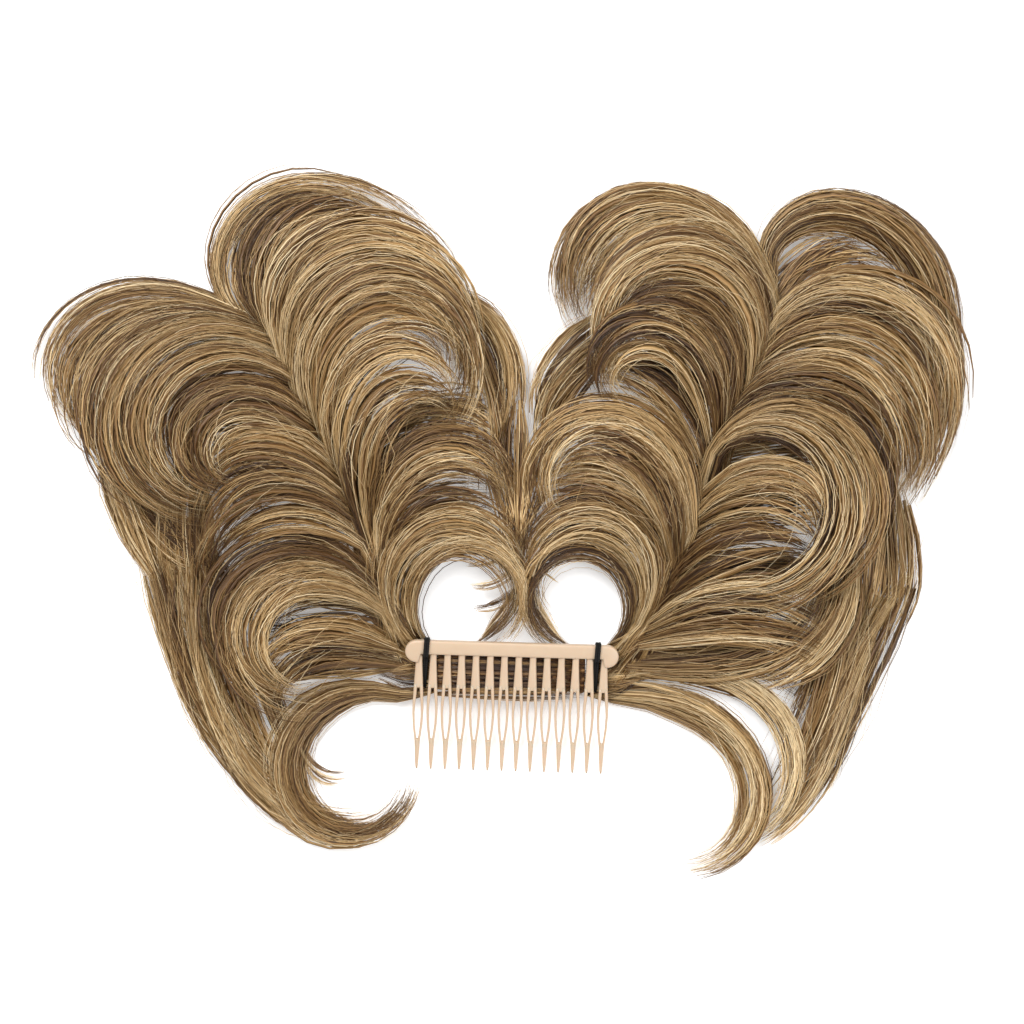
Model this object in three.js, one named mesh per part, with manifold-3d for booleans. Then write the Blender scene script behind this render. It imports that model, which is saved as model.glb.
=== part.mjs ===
// A comb-mounted hairpiece laid out flat on a table, seen from above: a moulded side comb with
// split teeth, a sewn weft band behind its teeth, two elastic ties, and two wings of curled hair.
// Millimetres, +X to the right along the comb, +Y away from the teeth, +Z up from the table.
import * as THREE from "three";
import { mergeVertices } from "three/addons/utils/BufferGeometryUtils.js";
import Module from "manifold-3d";

const wasm = await Module();
wasm.setup();

// Comb, in its own plane: the bar's middle is the origin and the teeth point down -Y
const BAR_LENGTH = 80;
const BAR_MIDDLE = 58;
const BAR_LAP = 1;
const BAR_TOP = 3;
const BAR_FOOT = -2.4;
const BAR_THICK = 3;
const LOBE_RADIUS = 4.3;
const TOOTH_COUNT = 14;
const TOOTH_PITCH = 5.34;
const TOOTH_THICK = 2;
const ARC_STEPS = 7;

// Half the width of a tooth, and of the needle eye that splits it, down its length
const TOOTH_SECTIONS = [
  { down: 1.4, half: 1.6 },
  { down: 15, half: 1.6 },
  { down: 19, half: 1.85 },
  { down: 24.4, half: 2.1 },
  { down: 30, half: 1.8 },
  { down: 36, half: 0.95 },
  { down: 42, half: 0.7 },
  { down: 45.2, half: 0.35 },
];
const EYE_SECTIONS = [
  { down: 15.4, half: 0.3 },
  { down: 19, half: 0.95 },
  { down: 24.4, half: 1.2 },
  { down: 30, half: 0.9 },
  { down: 34.6, half: 0.25 },
];

// How the comb lies: its bar rides on the hair roots and its teeth slope down to the table
const COMB_HEIGHT = 12.5;
const COMB_PITCH = 13;
const COMB_YAW = -1.4;

// Sewn weft band behind the teeth, and the hair roots bound at each of its ends
const WEFT_HALF_LENGTH = 27.6;
const WEFT_TOP = -3.2;
const WEFT_FOOT = -15.2;
const WEFT_FRONT = -1.9;
const WEFT_THICK = 2.8;
const WEFT_ROUND = 0.33;
const ROOT_MIDDLE = -7.6;
const ROOT_BACK = -5.3;
const ROOT_WIDE = 17.8;
const ROOT_DEEP = 6;

// Elastic ties, between the two end teeth at each side
const TIE_WIDE = 1.5;
const TIE_THICK = 0.8;
// The inside of a tie, once round the bar and the hair roots: across the comb, and through it
const TIE_LOOP = [
  { across: 3.3, through: 1.8 },
  { across: -2.8, through: 1.8 },
  { across: -3.6, through: -1.5 },
  { across: -11, through: -1.7 },
  { across: -15.4, through: -2.9 },
  { across: -17.4, through: -5.4 },
  { across: -15.2, through: -7.9 },
  { across: -7.6, through: -8.9 },
  { across: 0, through: -7.9 },
  { across: 2.6, through: -5 },
  { across: 3.3, through: -2 },
];

// Wings: a stem out of the bound roots, with locks on both sides
const LOCK_SIDES = 6;
const STEM_SIDES = 8;
const STEM_STEPS = 12;
const TURN_PER_STEP = 30;
const LEAST_STEPS = 4;
const HEADING_PARTS = 6;
const ROOT_SHARE = 0.45;
const TIP_SHARE = 0.16;
const SWELL_END = 0.28;
const TAPER_START = 0.58;
// Room kept round a free lock, all over its section and before its root
const FREE_GAP = 0.4;
// The two wings meet along this line, each cut back a little from it
const MEETING_X = 3.9;
const MEETING_GAP = 0.4;
const CUT_BOX = 400;

// A stem leaves its bound roots along the comb, from start towards bend, then rises to its end
const STEMS = {
  left: { start: -28.1, bend: -53, rise: [-55, 45, 19], end: [-96, 126, 10] },
  right: { start: 28.1, bend: 52, rise: [72, 50, 20], end: [98, 148, 10] },
};
const STEM_END_WIDE = 7;
const STEM_END_DEEP = 6;
// The share of a stem over which the flat bound roots become its round core
const STEM_SETTLE = 0.45;

// A lock starts at x, y with a heading (degrees from +X) and is so long. It turns through so many
// degrees in all, evenly where gather is 1 and more towards the tip above that. It is so wide and
// so deep, and the height of its middle line is given at its root, half way and at its tip.
const COLUMNS = ["x", "y", "heading", "length", "turn", "gather", "wide", "deep", "root", "crest", "tip"];
const LEFT_LOCKS = [
  // outer side, from the wing's end down to the comb
  [-98, 124, 148, 106, 130, 1.5, 4, 5, 7, 6, 4],
  [-96, 123, 164, 120, 163, 1.5, 13, 10, 10, 8, 6],
  [-94, 120, 160, 148, 210, 1.2, 13, 10, 11, 13, 10],
  [-89, 114, 159, 129, 208, 1.2, 15, 10, 12, 18, 11],
  [-80, 99, 147, 105, 212, 1.3, 17, 11, 14, 23, 13],
  [-70, 79, 145, 90, 262, 2.0, 18, 11, 16, 27, 19],
  [-65, 64, 140, 62, 114, 1.7, 17, 11, 17, 26, 18],
  [-61, 51, 138, 84, 146, 1.1, 12, 10, 17, 21, 6],
  [-56, 39, 144, 67, 90, 1, 14, 10, 16, 16, 6],
  [-50, 24, 130, 132, 244, 1.15, 15, 11, 13, 16, 8],
  [-48, 15, 141, 97, 220, 1.5, 18, 11, 12, 21, 12],
  [-43, 0, 158, 63, 86, 1.7, 16, 10, 7, 21, 16],
  [-42, -5, 168, 58, 98, 2.2, 15, 9, 6, 14, 11],
  [-106, -4, 275, 90, 86, 1.8, 14, 9, 7, 5, 5],
  [-152, 74, 276, 76, 60, 1.2, 14, 9, 5, 5, 6],
  [-139, 42, 284, 88, 40, 2, 13, 8, 5, 5, 5],
  [-117, 23, 262, 98, 62, 1.1, 15, 9, 10, 6, 5],
  // inner side, from the wing's end down to the comb
  [-98, 124, 165, 140, -238, 0.7, 9, 9, 7, 5, 6],
  [-92, 120, 129, 80, -160, 1.2, 9, 9, 11, 8, 6],
  [-88, 114, 116, 88, -164, 1.3, 14, 10, 12, 13, 8],
  [-85, 110, 108, 136, -208, 1, 18, 11, 13, 17, 7],
  [-75, 88, 116, 158, -260, 1.1, 18, 11, 14, 22, 11],
  [-69, 78, 102, 97, -186, 1.6, 17, 10, 17, 26, 18],
  [-62, 63, 98, 86, -182, 1.8, 16, 10, 17, 30, 22],
  [-55, 48, 97, 71, -124, 1.9, 18, 10, 17, 27, 19],
  [-34, 136, 350, 98, -88, 0.45, 10, 8, 10, 5, 6],
  [-50, 44, 91, 84, -172, 1.3, 14, 10, 16, 23, 14],
  [-48, 34, 90, 72, -150, 1.2, 14, 10, 14, 22, 13],
  [-44, 8, 122, 103, -215, 1.1, 13, 11, 10, 16, 10],
];
const RIGHT_LOCKS = [
  // inner side, from the wing's end down to the comb
  [97, 142, 111, 134, 188, 1.2, 7, 8, 7, 5, 6],
  [97, 137, 98, 125, 190, 1, 14, 10, 11, 12, 7],
  [98, 131, 113, 104, 166, 1.2, 14, 10, 12, 16, 11],
  [95, 114, 86, 142, 260, 1.1, 14, 10, 14, 20, 12],
  [86, 97, 80, 90, 176, 1.3, 18, 10, 16, 23, 17],
  [75, 77, 96, 94, 246, 2.0, 19, 10, 14, 27, 20],
  [33, 128, 221, 48, 118, 1.4, 9, 8, 14, 9, 8],
  [33, 124, 214, 60, 72, 1.3, 11, 8, 14, 8, 6],
  [67, 45, 94, 120, 232, 1.5, 15, 10, 17, 21, 11],
  [61, 34, 97, 80, 140, 1.8, 18, 11, 16, 25, 16],
  [48, 9, 60, 103, 224, 1.2, 14, 11, 11, 16, 10],
  // outer side, from the wing's end down to the comb
  [97, 141, 105, 165, -245, 0.68, 6, 6, 7, 5, 5],
  [98, 137, 108, 138, -238, 0.63, 16, 10, 10, 10, 7],
  [96, 116, 69, 110, -190, 0.9, 20, 11, 13, 17, 10],
  [91, 103, 61, 115, -180, 0.85, 18, 10, 14, 21, 10],
  [84, 90, 48, 97, -152, 0.9, 17, 10, 16, 23, 11],
  [76, 73, 57, 129, -252, 1, 17, 11, 17, 26, 14],
  [71, 56, 36, 69, -160, 1.7, 16, 10, 17, 30, 22],
  [67, 39, 33, 54, -80, 1.4, 16, 10, 16, 27, 20],
  [58, 19, 47, 60, -60, 1.1, 17, 10, 13, 23, 17],
  [51, 7, 30, 82, -30, 1, 16, 10, 11, 20, 14],
  [44, 1, 18, 82, -20, 1, 16, 10, 7, 16, 12],
  [41, -6, 357, 100, 90, 2.4, 13, 10, 6, 12, 10],
  [39, -10, 12, 116, -156, 1.4, 10, 9, 5, 9, 5],
  [142, 79, 279, 146, -54, 1.1, 14, 9, 13, 5, 5],
  [62, 24, 4, 142, -150, 0.95, 16, 10, 13, 10, 5],
];

// Locks that lie free of their wing from a root in its bound hair: the two ring curls beside the
// comb and the two long tails below it, each with the side of the meeting line that it is on
const FREE_LOCKS = [
  { name: "left_ring_curl", side: -1, row: [-38, 1, 122, 114, -282, 1.1, 7, 9, 5, 13, 6] },
  { name: "left_tail_lock", side: -1, row: [-38, -12, 174, 120, 242, 1.3, 12, 9, 5, 6, 5] },
  { name: "right_ring_curl", side: 1, row: [37, 0, 40, 108, 304, 1.1, 7, 9, 5, 13, 6] },
  { name: "right_tail_lock", side: 1, row: [37, -12, 350, 112, -156, 1.6, 12, 9, 4, 6, 5] },
];

const PLASTIC = new THREE.MeshStandardMaterial({ color: 0xecd0b4, roughness: 0.35, metalness: 0 });
const ELASTIC = new THREE.MeshStandardMaterial({ color: 0x1e1c1a, roughness: 0.75, metalness: 0 });
const STITCHED = new THREE.MeshStandardMaterial({ color: 0x321e19, roughness: 0.9, metalness: 0 });
const HAIR = new THREE.MeshStandardMaterial({ color: 0x967652, roughness: 0.5, metalness: 0 });

// A closed geometry as a solid that can be joined and cut
function solidOf(geometry) {
  const bare = geometry.clone();
  bare.deleteAttribute("normal");
  bare.deleteAttribute("uv");
  const merged = mergeVertices(bare, 1e-3);
  const vertProperties = merged.attributes.position.array;
  const triVerts = new Uint32Array(merged.index.array);
  return new wasm.Manifold(new wasm.Mesh({ numProp: 3, vertProperties, triVerts }));
}

// A solid back as a geometry
function geometryOf(solid) {
  const mesh = solid.getMesh();
  const geometry = new THREE.BufferGeometry();
  geometry.setAttribute("position", new THREE.BufferAttribute(mesh.vertProperties.slice(), 3));
  geometry.setIndex(new THREE.BufferAttribute(mesh.triVerts.slice(), 1));
  geometry.computeVertexNormals();
  return geometry;
}

function joined(geometries) {
  return geometries.map(solidOf).reduce((sum, solid) => sum.add(solid));
}

function named(name, geometry, material) {
  const mesh = new THREE.Mesh(geometry, material);
  mesh.name = name;
  return mesh;
}

// Both edges of a tapered blade as one closed outline, down its left side and up its right
function bladeOutline(sections) {
  const left = sections.map(({ down, half }) => new THREE.Vector2(-half, -down));
  const right = sections.map(({ down, half }) => new THREE.Vector2(half, -down));
  return [...left, ...right.reverse()];
}

function toothGeometry(x) {
  const shape = new THREE.Shape(bladeOutline(TOOTH_SECTIONS));
  shape.holes.push(new THREE.Path(bladeOutline(EYE_SECTIONS)));
  const tooth = new THREE.ExtrudeGeometry(shape, { depth: TOOTH_THICK, bevelEnabled: false });
  return tooth.translate(x, 0, -BAR_THICK / 2);
}

// One end of the bar, with its round lobe, on the side given as -1 or 1
function barEnd(side) {
  const reach = side * (BAR_LENGTH / 2 - LOBE_RADIUS);
  const lobeMiddle = BAR_TOP - LOBE_RADIUS;
  const inner = side * (BAR_MIDDLE / 2 - BAR_LAP);
  const top = Math.PI / 2;
  const foot = top - side * Math.PI;
  const shape = new THREE.Shape();
  shape.moveTo(inner, BAR_TOP);
  shape.absarc(reach, lobeMiddle, LOBE_RADIUS, top, foot, side > 0);
  shape.lineTo(reach - side * BAR_LAP, BAR_FOOT);
  shape.lineTo(inner, BAR_FOOT);
  const end = new THREE.ExtrudeGeometry(shape, {
    depth: BAR_THICK,
    bevelEnabled: false,
    curveSegments: ARC_STEPS,
  });
  return end.translate(0, 0, -BAR_THICK / 2);
}

// The straight stretch of the bar between the two ties
function barMiddle() {
  const middle = new THREE.BoxGeometry(BAR_MIDDLE, BAR_TOP - BAR_FOOT, BAR_THICK);
  return middle.translate(0, (BAR_TOP + BAR_FOOT) / 2, 0);
}

function toothX(index) {
  return (index - (TOOTH_COUNT - 1) / 2) * TOOTH_PITCH;
}

function combGeometry() {
  const teeth = Array.from({ length: TOOTH_COUNT }, (_, index) => toothGeometry(toothX(index)));
  return geometryOf(joined([barMiddle(), barEnd(-1), barEnd(1), ...teeth]));
}

// A ring of points, listed counter-clockwise, pushed outwards by a distance
function pushedOut(points, distance) {
  return points.map((point, index) => {
    const before = points[(index + points.length - 1) % points.length];
    const after = points[(index + 1) % points.length];
    const along = after.clone().sub(before).normalize();
    return new THREE.Vector2(point.x + along.y * distance, point.y - along.x * distance);
  });
}

// An outline across and through the comb, carried along the comb by its depth
function alongComb(shape, depth) {
  const geometry = new THREE.ExtrudeGeometry(shape, { depth, bevelEnabled: false });
  geometry.translate(0, 0, -depth / 2);
  geometry.rotateX(Math.PI / 2);
  return geometry.rotateZ(Math.PI / 2);
}

function tieGeometry() {
  const inside = TIE_LOOP.map(({ across, through }) => new THREE.Vector2(across, through));
  const shape = new THREE.Shape(pushedOut(inside, TIE_THICK));
  shape.holes.push(new THREE.Path(inside));
  return alongComb(shape, TIE_WIDE);
}

function weftGeometry() {
  const back = WEFT_FRONT - WEFT_THICK;
  const round = WEFT_THICK * WEFT_ROUND;
  const shape = new THREE.Shape([
    new THREE.Vector2(WEFT_FOOT + round, back),
    new THREE.Vector2(WEFT_TOP - round, back),
    new THREE.Vector2(WEFT_TOP, back + round),
    new THREE.Vector2(WEFT_TOP, WEFT_FRONT - round),
    new THREE.Vector2(WEFT_TOP - round, WEFT_FRONT),
    new THREE.Vector2(WEFT_FOOT + round, WEFT_FRONT),
    new THREE.Vector2(WEFT_FOOT, WEFT_FRONT - round),
    new THREE.Vector2(WEFT_FOOT, back + round),
  ]);
  return alongComb(shape, 2 * WEFT_HALF_LENGTH);
}

// How the comb, its ties and its weft band are turned and lifted together
function combPlacement() {
  const turn = new THREE.Euler(
    THREE.MathUtils.degToRad(COMB_PITCH),
    0,
    THREE.MathUtils.degToRad(COMB_YAW),
    "ZYX",
  );
  const matrix = new THREE.Matrix4().makeRotationFromEuler(turn);
  return matrix.setPosition(0, 0, COMB_HEIGHT);
}

// A straight closed tube bent into place: share runs along it, across and up over its section
function bentTube(sides, steps, place) {
  const tube = new THREE.CylinderGeometry(1, 1, 1, sides, steps);
  const position = tube.attributes.position;
  for (let index = 0; index < position.count; index += 1) {
    const share = position.getY(index) + 0.5;
    const point = place(share, position.getX(index), position.getZ(index));
    position.setXYZ(index, point.x, point.y, point.z);
  }
  return tube;
}

function smooth(from, to, value) {
  return THREE.MathUtils.smoothstep(value, from, to);
}

// The share of a lock's full size: gathered at its root, full in the middle, drawn out at its tip
function lockSwell(share) {
  const gathered = ROOT_SHARE + (1 - ROOT_SHARE) * smooth(0, SWELL_END, share);
  return gathered * (1 - (1 - TIP_SHARE) * smooth(TAPER_START, 1, share));
}

function lockHeading(lock, share) {
  return THREE.MathUtils.degToRad(lock.heading + lock.turn * share ** lock.gather);
}

// The height of a lock's middle line: a parabola through its root, crest and tip
function lockHeight(lock, share) {
  const straight = lock.root + (lock.tip - lock.root) * share;
  return straight + 4 * share * (1 - share) * (lock.crest - (lock.root + lock.tip) / 2);
}

// The middle line in plan, walked along the heading in short parts
function lockLine(lock, steps) {
  const points = [new THREE.Vector2(lock.x, lock.y)];
  const part = 1 / (steps * HEADING_PARTS);
  for (let step = 0; step < steps; step += 1) {
    const point = points[step].clone();
    for (let index = 0; index < HEADING_PARTS; index += 1) {
      const heading = lockHeading(lock, (step * HEADING_PARTS + index + 0.5) * part);
      point.x += Math.cos(heading) * lock.length * part;
      point.y += Math.sin(heading) * lock.length * part;
    }
    points.push(point);
  }
  return points;
}

// A lock as a tapered tube on its middle line, or the room for it, wider by a gap all round
function lockGeometry(lock, gap = 0) {
  const steps = Math.max(LEAST_STEPS, Math.round(Math.abs(lock.turn) / TURN_PER_STEP));
  const line = lockLine(lock, steps);
  return bentTube(LOCK_SIDES, steps, (share, across, up) => {
    const middle = line[Math.round(share * steps)];
    const heading = lockHeading(lock, share);
    const swell = lockSwell(share);
    const side = across * ((swell * lock.wide) / 2 + gap);
    const rise = up * ((swell * lock.deep) / 2 + gap);
    return new THREE.Vector3(
      middle.x + Math.sin(heading) * side,
      middle.y - Math.cos(heading) * side,
      lockHeight(lock, share) + rise,
    );
  });
}

// The stem starts as the flat bound roots in the comb's plane and ends as a slim round core
function stemGeometry(stem, placement) {
  const [start, bend] = [stem.start, stem.bend].map((x) => {
    return new THREE.Vector3(x, ROOT_MIDDLE, ROOT_BACK).applyMatrix4(placement);
  });
  const [rise, end] = [stem.rise, stem.end].map((place) => new THREE.Vector3(...place));
  const curve = new THREE.CubicBezierCurve3(start, bend, rise, end);
  const level = new THREE.Vector3(0, 0, 1);
  const combNormal = level.clone().transformDirection(placement);
  return bentTube(STEM_SIDES, STEM_STEPS, (share, across, up) => {
    const along = curve.getTangent(share);
    const settle = smooth(0, STEM_SETTLE, share);
    const lean = combNormal.clone().lerp(level, settle);
    const side = along.clone().cross(lean).normalize();
    const over = side.clone().cross(along).normalize();
    const wide = THREE.MathUtils.lerp(ROOT_WIDE, STEM_END_WIDE, settle);
    const deep = THREE.MathUtils.lerp(ROOT_DEEP, STEM_END_DEEP, settle);
    const point = curve.getPoint(share);
    point.addScaledVector(side, (across * wide) / 2);
    return point.addScaledVector(over, (up * deep) / 2);
  });
}

// The half of space on one side of the line where the wings meet
function wingRoom(side) {
  const room = new THREE.BoxGeometry(CUT_BOX, CUT_BOX * 2, CUT_BOX);
  return solidOf(room.translate(MEETING_X + side * (CUT_BOX / 2 + MEETING_GAP / 2), 0, 0));
}

function lockOf(row) {
  return Object.fromEntries(row.map((value, index) => [COLUMNS[index], value]));
}

function freeLockGeometry({ row, side }) {
  return geometryOf(solidOf(lockGeometry(lockOf(row))).intersect(wingRoom(side)));
}

// The room that a free lock takes out of its wing, with the gap before its root and past its tip too
function lockRoom(row) {
  const lock = lockOf(row);
  const back = lockHeading(lock, 0);
  lock.x -= Math.cos(back) * FREE_GAP;
  lock.y -= Math.sin(back) * FREE_GAP;
  lock.length += 2 * FREE_GAP;
  return solidOf(lockGeometry(lock, FREE_GAP));
}

function wingGeometry(stem, rows, side, placement) {
  const pieces = [stemGeometry(stem, placement), ...rows.map((row) => lockGeometry(lockOf(row)))];
  const beside = FREE_LOCKS.filter((lock) => lock.side === side);
  const wing = joined(pieces).intersect(wingRoom(side));
  return geometryOf(beside.reduce((rest, { row }) => rest.subtract(lockRoom(row)), wing));
}

const placement = combPlacement();
const fastening = new THREE.Group();
fastening.applyMatrix4(placement);
fastening.add(named("comb", combGeometry(), PLASTIC));
fastening.add(named("weft_band", weftGeometry(), STITCHED));
const tieX = (toothX(0) + toothX(1)) / 2;
[["elastic_tie_left", tieX], ["elastic_tie_right", -tieX]].forEach(([name, x]) => {
  const tie = named(name, tieGeometry(), ELASTIC);
  tie.position.x = x;
  fastening.add(tie);
});

const hairpiece = new THREE.Group();
hairpiece.add(fastening);
hairpiece.add(named("left_wing", wingGeometry(STEMS.left, LEFT_LOCKS, -1, placement), HAIR));
hairpiece.add(named("right_wing", wingGeometry(STEMS.right, RIGHT_LOCKS, 1, placement), HAIR));
FREE_LOCKS.forEach((lock) => hairpiece.add(named(lock.name, freeLockGeometry(lock), HAIR)));

// The origin goes to the middle of the whole, at the table
const box = new THREE.Box3().setFromObject(hairpiece, true);
const middle = box.getCenter(new THREE.Vector3());
hairpiece.position.set(-middle.x, -middle.y, -box.min.z);

export default new THREE.Group().add(hairpiece);
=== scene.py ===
"""A comb-mounted hairpiece of curled hair, laid open flat on a pale table and seen from above.

Two wings of curled locks spread from the ends of a moulded side comb. Every lock is a row of a table,
and its ribbons, its strands and its loose hairs are worked out from that row as whole arrays.
Sizes are millimetres in the comb's own place: the middle of its bar is the origin, +X runs along the
bar, +Y away from the teeth and +Z up from the table. They become metres where a mesh is made.
"""
import math

import bpy
import numpy as np
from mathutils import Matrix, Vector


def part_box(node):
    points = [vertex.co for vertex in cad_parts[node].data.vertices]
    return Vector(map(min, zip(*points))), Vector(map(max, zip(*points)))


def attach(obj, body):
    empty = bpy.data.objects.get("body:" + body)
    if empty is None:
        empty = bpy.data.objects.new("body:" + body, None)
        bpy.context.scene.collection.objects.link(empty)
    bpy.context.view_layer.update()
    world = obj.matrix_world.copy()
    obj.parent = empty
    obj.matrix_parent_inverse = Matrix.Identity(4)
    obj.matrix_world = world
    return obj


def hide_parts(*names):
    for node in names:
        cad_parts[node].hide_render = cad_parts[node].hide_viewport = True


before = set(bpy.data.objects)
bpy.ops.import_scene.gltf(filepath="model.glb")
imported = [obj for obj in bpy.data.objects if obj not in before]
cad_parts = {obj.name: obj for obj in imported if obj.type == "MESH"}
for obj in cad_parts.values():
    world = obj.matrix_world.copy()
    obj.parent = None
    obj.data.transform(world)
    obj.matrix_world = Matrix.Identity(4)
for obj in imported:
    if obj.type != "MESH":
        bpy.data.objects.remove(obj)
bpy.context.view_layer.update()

METRES = 0.001

# Comb, in its own plane: teeth point down -Y and its front faces +Z
BAR_HALF_LENGTH = 40
BAR_TOP = 3
BAR_FOOT = -2.4
BAR_HALF_THICK = 1.5
LOBE_RADIUS = 4.3
LOBE_INNER = 34.6
LOBE_EASE = 0.5
BAR_POWER = 5
BAR_SIDES = 24
TOOTH_COUNT = 14
TOOTH_PITCH = 5.34
TOOTH_BACK = -1.5
TOOTH_FRONT = 0.5
TOOTH_POWER = 3.2
TOOTH_SIDES = 14
LEAST_EYE = 0.05
COMB_PITCH = 13
COMB_YAW = -1.7
COMB_HEIGHT = 12.5

# Half the width of a tooth, and of the needle eye that splits it, down its length
TOOTH_COLUMNS = ("down", "half", "eye")
TOOTH_SECTIONS = np.array([
    (1.4, 1.25, 0.0),
    (5.0, 1.25, 0.0),
    (10.0, 1.5, 0.0),
    (14.6, 1.75, 0.0),
    (15.3, 1.78, 0.42),
    (16.4, 1.85, 0.55),
    (18.0, 1.9, 0.6),
    (21.0, 2.05, 0.95),
    (25.0, 2.1, 1.2),
    (30.0, 1.85, 0.98),
    (34.0, 1.35, 0.5),
    (36.4, 1.05, 0.12),
    (37.2, 0.98, 0.0),
    (42.0, 0.75, 0.0),
    (46.0, 0.5, 0.0),
    (47.2, 0.28, 0.0),
])

# Blades of a tooth: shank, tip and two prongs, with places measured from the ends of its eye
SHANK_STEPS = 9
SHANK_END = (-0.5, -0.25, 0.0, 0.15)
SHANK_CLOSES = (-0.3, 0.15)
SHANK_CLOSED = 0.75
TIP_STEPS = 8
TIP_START = (-0.9, -0.5)
TIP_OPENS = (-1.2, 0.4)
TIP_LEAST = 0.2
TIP_POINTED = 0.55
TIP_THICK = 0.8
PRONG_STEPS = 18
PRONG_ENDS = (-1.2, 1.6)
PRONG_WIDE = 0.99
PRONG_THICK = 0.98
PRONG_SLIMMED = 0.2
PRONG_CLOSED = 0.6

# Weft band behind the teeth, and the two elastic ties
WEFT_HALF_LENGTH = 27.6
WEFT_TOP = -3.2
WEFT_FOOT = -16.6
WEFT_FRONT = -1.9
WEFT_BACK = -4.7
WEFT_RINGS = 90
WEFT_SIDES = 28
WEFT_POWER = 3.4
WEFT_SWELL = 0.05
STITCHES = 2.1
STITCH_ROWS = 9
TIE_X = 32.04
TIE_TURNS = (-0.5, 0.5)
TIE_HALF_WIDE = 0.56
TIE_HALF_THICK = 0.42
TIE_LIFT = 0.15
TIE_SLANT = 0.05
TIE_POWER = 2.6
TIE_SIDES = 10
TIE_STEPS = 8
TIE_COLUMNS = ("across", "through")
TIE_LOOP = np.array([
    (3.2, 1.85),
    (0.0, 1.95),
    (-2.6, 1.85),
    (-3.7, -0.9),
    (-8.0, -1.6),
    (-12.0, -1.9),
    (-15.6, -2.9),
    (-17.2, -5.4),
    (-15.2, -8.1),
    (-7.6, -9.1),
    (-1.2, -8.2),
    (1.6, -5.0),
    (3.3, -1.0),
])

# The locks. A lock starts at x, y with a heading (degrees from +X) and is so long. It turns through so
# many degrees in all, evenly where gather is 1 and more towards the tip above that. It is so wide and
# so deep, and the height of its middle line is given at its root, half way and at its tip. Its tone runs
# from 0, dark brown, to 1, pale blonde, and loose says how far its strands stray from it.
COLUMNS = ("x", "y", "heading", "length", "turn", "gather", "wide", "deep", "root", "crest", "tip",
           "tone", "loose")
LEFT_OUTER = np.array([
    (-100.8, 128, 154, 113, 138, 1.6, 5, 5, 7, 6, 4, 0.6, 0.4),
    (-100.5, 123.5, 166, 117, 195, 2.1, 14, 10, 10, 8, 6, 0.5, 1),
    (-94, 120, 160, 144, 210, 1.2, 13, 10, 11, 13, 10, 0.5, 1),
    (-89, 114, 159, 127, 208, 1.2, 15, 10, 12, 18, 11, 0.6, 1),
    (-80, 99, 147, 105, 212, 1.3, 17, 11, 14, 23, 13, 0.4, 1),
    (-70, 79, 145, 90, 262, 2.0, 18, 11, 16, 27, 19, 0.5, 1),
    (-65, 64, 140, 62, 114, 1.7, 17, 11, 17, 26, 18, 0.5, 1),
    (-63, 57, 140, 72, 132, 1.4, 13, 10, 16, 24, 12, 0.55, 1),
    (-61, 51, 138, 84, 146, 1.1, 12, 10, 17, 21, 6, 0.45, 1),
    (-56, 39, 144, 67, 90, 1, 14, 10, 16, 16, 6, 0.4, 1),
    (-50, 24, 130, 132, 244, 1.15, 15, 11, 13, 16, 8, 0.45, 1),
    (-48, 15, 141, 97, 220, 1.5, 18, 11, 12, 21, 12, 0.6, 1),
    (-43, 0, 158, 63, 86, 1.7, 16, 10, 7, 21, 16, 0.45, 1),
    (-42, -5, 168, 58, 98, 2.2, 15, 9, 6, 14, 11, 0.5, 1),
    (-110, -13, 277, 92, 93, 1.3, 15, 9, 7, 5, 5, 0.55, 0.8),
    (-153.5, 77, 288, 62, 15, 2, 15, 9, 5, 5, 6, 0.6, 1),
    (-139.5, 44.5, 285, 109, 26, 1.7, 15, 8, 5, 5, 5, 0.55, 0.8),
    (-116, 34, 264, 109, 62, 1.3, 15, 9, 10, 6, 5, 0.5, 1),
    (-42.4, -17, 167, 135, 281, 1.24, 15, 9, 5, 6, 5, 0.6, 0.6),
    (-146, 68, 292, 70, 50, 1.2, 22, 6, 5, 5, 4, 0.45, 1.5),
    (-120, 74, 260, 82, 46, 1.4, 24, 6, 6, 5, 4, 0.45, 1.5),
    (-100, 0, 276, 60, 34, 1.2, 18, 6, 6, 5, 4, 0.35, 1.5),
])
LEFT_INNER = np.array([
    (-101, 125.5, 178, 139, -245, 0.54, 9, 9, 7, 5, 6, 0.55, 0.6),
    (-92, 120, 129, 80, -160, 1.2, 9, 9, 11, 8, 6, 0.4, 1),
    (-88, 114, 116, 88, -164, 1.3, 14, 10, 12, 13, 8, 0.4, 1),
    (-85, 110, 108, 132, -208, 1, 18, 11, 13, 17, 7, 0.55, 1),
    (-75, 88, 116, 156, -260, 1.1, 18, 11, 14, 22, 11, 0.6, 1),
    (-69, 78, 102, 106, -204, 1.6, 17, 10, 17, 26, 16, 0.5, 1),
    (-62, 63, 98, 86, -182, 1.8, 16, 10, 17, 30, 22, 0.6, 1),
    (-55, 48, 97, 71, -124, 1.9, 18, 10, 17, 27, 19, 0.45, 1),
    (-34, 136, 350, 98, -88, 0.45, 12, 8, 10, 5, 6, 0.5, 1),
    (-28, 133.2, 16, 77, -136, 0.61, 12.5, 7, 7, 6, 6, 0.45, 0.7),
    (-50, 44, 91, 84, -172, 1.3, 14, 10, 16, 23, 14, 0.5, 1),
    (-48, 34, 90, 72, -150, 1.2, 14, 10, 14, 22, 13, 0.5, 1),
    (-43, 8, 122, 103, -215, 1.1, 13, 11, 10, 16, 10, 0.6, 1),
    (-39, 4.5, 124, 105, -248, 1.1, 10, 10, 7, 13, 8, 0.45, 0.7),
    (-32, 1.2, 126, 108, -281, 1.12, 10, 9, 5, 13, 6, 0.5, 0.4),
])
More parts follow.
